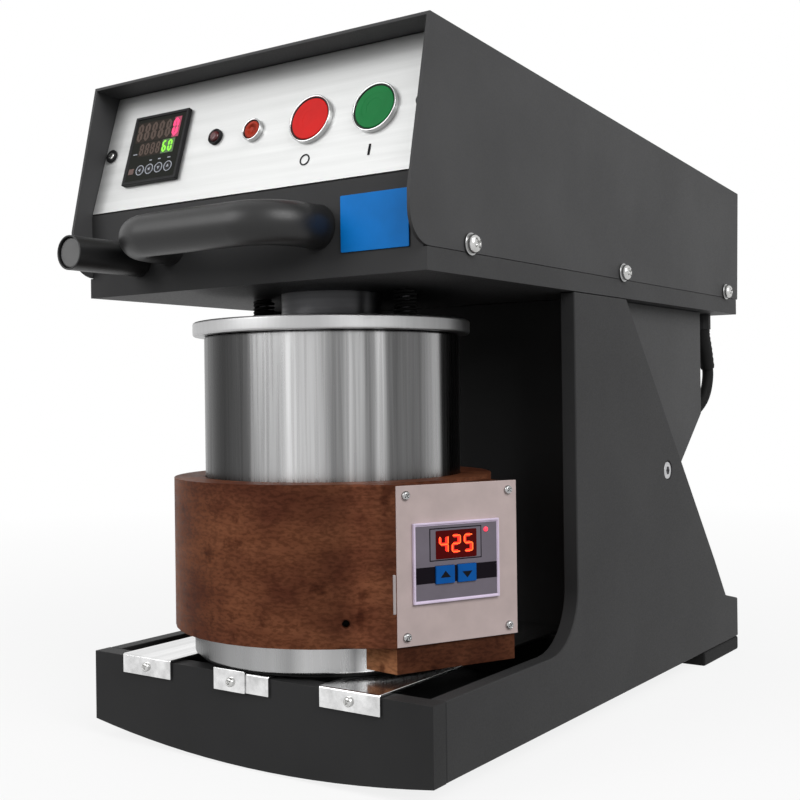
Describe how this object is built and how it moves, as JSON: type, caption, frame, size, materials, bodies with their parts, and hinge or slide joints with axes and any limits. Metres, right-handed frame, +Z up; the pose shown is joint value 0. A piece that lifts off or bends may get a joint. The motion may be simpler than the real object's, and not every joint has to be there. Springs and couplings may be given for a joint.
{
  "type": "pulp disintegrator",
  "caption": "Bench pulp disintegrator: tilting belt-drive head with floating lid and propeller over a stainless container in a heated collar on a steel base.",
  "frame": {"origin": "bench level, below the middle of the overall box in plan", "axes": "+X to the operator's right, +Y from the front to the back, +Z up"},
  "size_m": [0.254, 0.5228, 0.4081],
  "materials": {
    "painted_steel": "satin anthracite powder coat",
    "stainless": "brushed stainless",
    "bright": "polished chrome",
    "steel": "machined steel",
    "alloy": "satin aluminium",
    "collar_wood": "brown insulating laminate",
    "rubber_black": "matt rubber",
    "bronze": "sintered bronze",
    "panel_white": "fine brushed, off-white",
    "plate_beige": "satin pinkish beige",
    "frame_lilac": "satin pale lilac",
    "black_plastic": "matt black",
    "cap_red": "gloss red",
    "cap_green": "gloss green",
    "lens_red": "dark red lens",
    "key_blue": "satin blue"
  },
  "bodies": {
    "base": {"front_plate": "painted_steel", "side_plate_left": "painted_steel", "side_plate_right": "painted_steel", "deck_plate": "painted_steel", "column_web": "painted_steel", "rear_cover": "painted_steel", "rear_plate": "painted_steel", "power_inlet": "black_plastic", "rail_left": "stainless", "rail_middle": "stainless", "rail_right": "stainless", "foot_front": "rubber_black", "foot_rear": "rubber_black", "container": "stainless", "cup": "stainless", "cup_pad": "rubber_black", "heater_band": "steel", "collar": "collar_wood", "control_block": "collar_wood", "control_plate": "plate_beige", "controller_frame": "frame_lilac", "pivot_bolt_left": "steel", "pivot_bolt_right": "steel", "head_lead": "rubber_black"},
    "head": {"head_pan": "painted_steel", "hood_cover": "painted_steel", "control_panel": "panel_white", "head_arm_left": "painted_steel", "head_arm_right": "painted_steel", "pivot_bush_left": "bronze", "pivot_bush_right": "bronze", "motor_body": "painted_steel", "spindle_housing": "steel", "bearing_lower": "bright", "bearing_upper": "bright", "grip_bar": "painted_steel", "grip_stub": "painted_steel", "counter_body": "black_plastic", "pilot_lamp": "lens_red", "stop_bezel": "bright", "start_bezel": "bright", "reset_bezel": "bright", "lead_gland_upper": "black_plastic", "drive_belt": "rubber_black", "lid_spring_left": "bright", "lid_spring_right": "bright"},
    "spindle": {"spindle_shaft": "stainless", "propeller": "stainless", "spindle_pulley": "alloy"},
    "motor_rotor": {"motor_shaft": "steel", "motor_pulley": "alloy"},
    "lid": {"lid_disc": "alloy", "lid_sleeve": "steel", "lid_stud_left": "steel", "lid_stud_right": "steel"},
    "stop": {"stop_button": "cap_red"},
    "start": {"start_button": "cap_green"},
    "reset": {"reset_button": "lens_red"},
    "up_key": {"key_up": "key_blue"},
    "down_key": {"key_down": "key_blue"}
  },
  "joints": [
    {"name": "head_tilt", "type": "hinge", "parent": "base", "child": "head", "pos_m": [0, 0.10465, 0.155], "axis": [-1, 0, 0], "range_deg": [0, 60], "deforming": ["head_lead"]},
    {"name": "spindle_spin", "type": "hinge", "parent": "head", "child": "spindle", "pos_m": [0, -0.12435, 0.275], "axis": [0, 0, 1], "continuous": true},
    {"name": "motor_spin", "type": "hinge", "parent": "head", "child": "motor_rotor", "pos_m": [0, 0.12265, 0.275], "axis": [0, 0, 1], "continuous": true},
    {"name": "lid_float", "type": "slide", "parent": "head", "child": "lid", "axis": [0, 0, 1], "range_m": [0, 0.006], "stiffness_N_per_m": 1000, "springref_m": -0.004, "deforming": ["lid_spring_left", "lid_spring_right"]},
    {"name": "stop_press", "type": "slide", "parent": "head", "child": "stop", "axis": [0, 0.9558, -0.294], "range_m": [0, 0.0025], "stiffness_N_per_m": 300, "springref_m": -0.001},
    {"name": "start_press", "type": "slide", "parent": "head", "child": "start", "axis": [0, 0.9558, -0.294], "range_m": [0, 0.0025], "stiffness_N_per_m": 300, "springref_m": -0.001},
    {"name": "reset_press", "type": "slide", "parent": "head", "child": "reset", "axis": [0, 0.9558, -0.294], "range_m": [0, 0.0025], "stiffness_N_per_m": 300, "springref_m": -0.001},
    {"name": "up_key_press", "type": "slide", "parent": "base", "child": "up_key", "axis": [-0.8988, 0.4384, 0], "range_m": [0, 0.0006], "stiffness_N_per_m": 500, "springref_m": -0.0004},
    {"name": "down_key_press", "type": "slide", "parent": "base", "child": "down_key", "axis": [-0.8988, 0.4384, 0], "range_m": [0, 0.0006], "stiffness_N_per_m": 500, "springref_m": -0.0004}
  ],
  "couplings": [
    {"joint": "motor_spin", "follows": "spindle_spin", "ratio": 1}
  ]
}
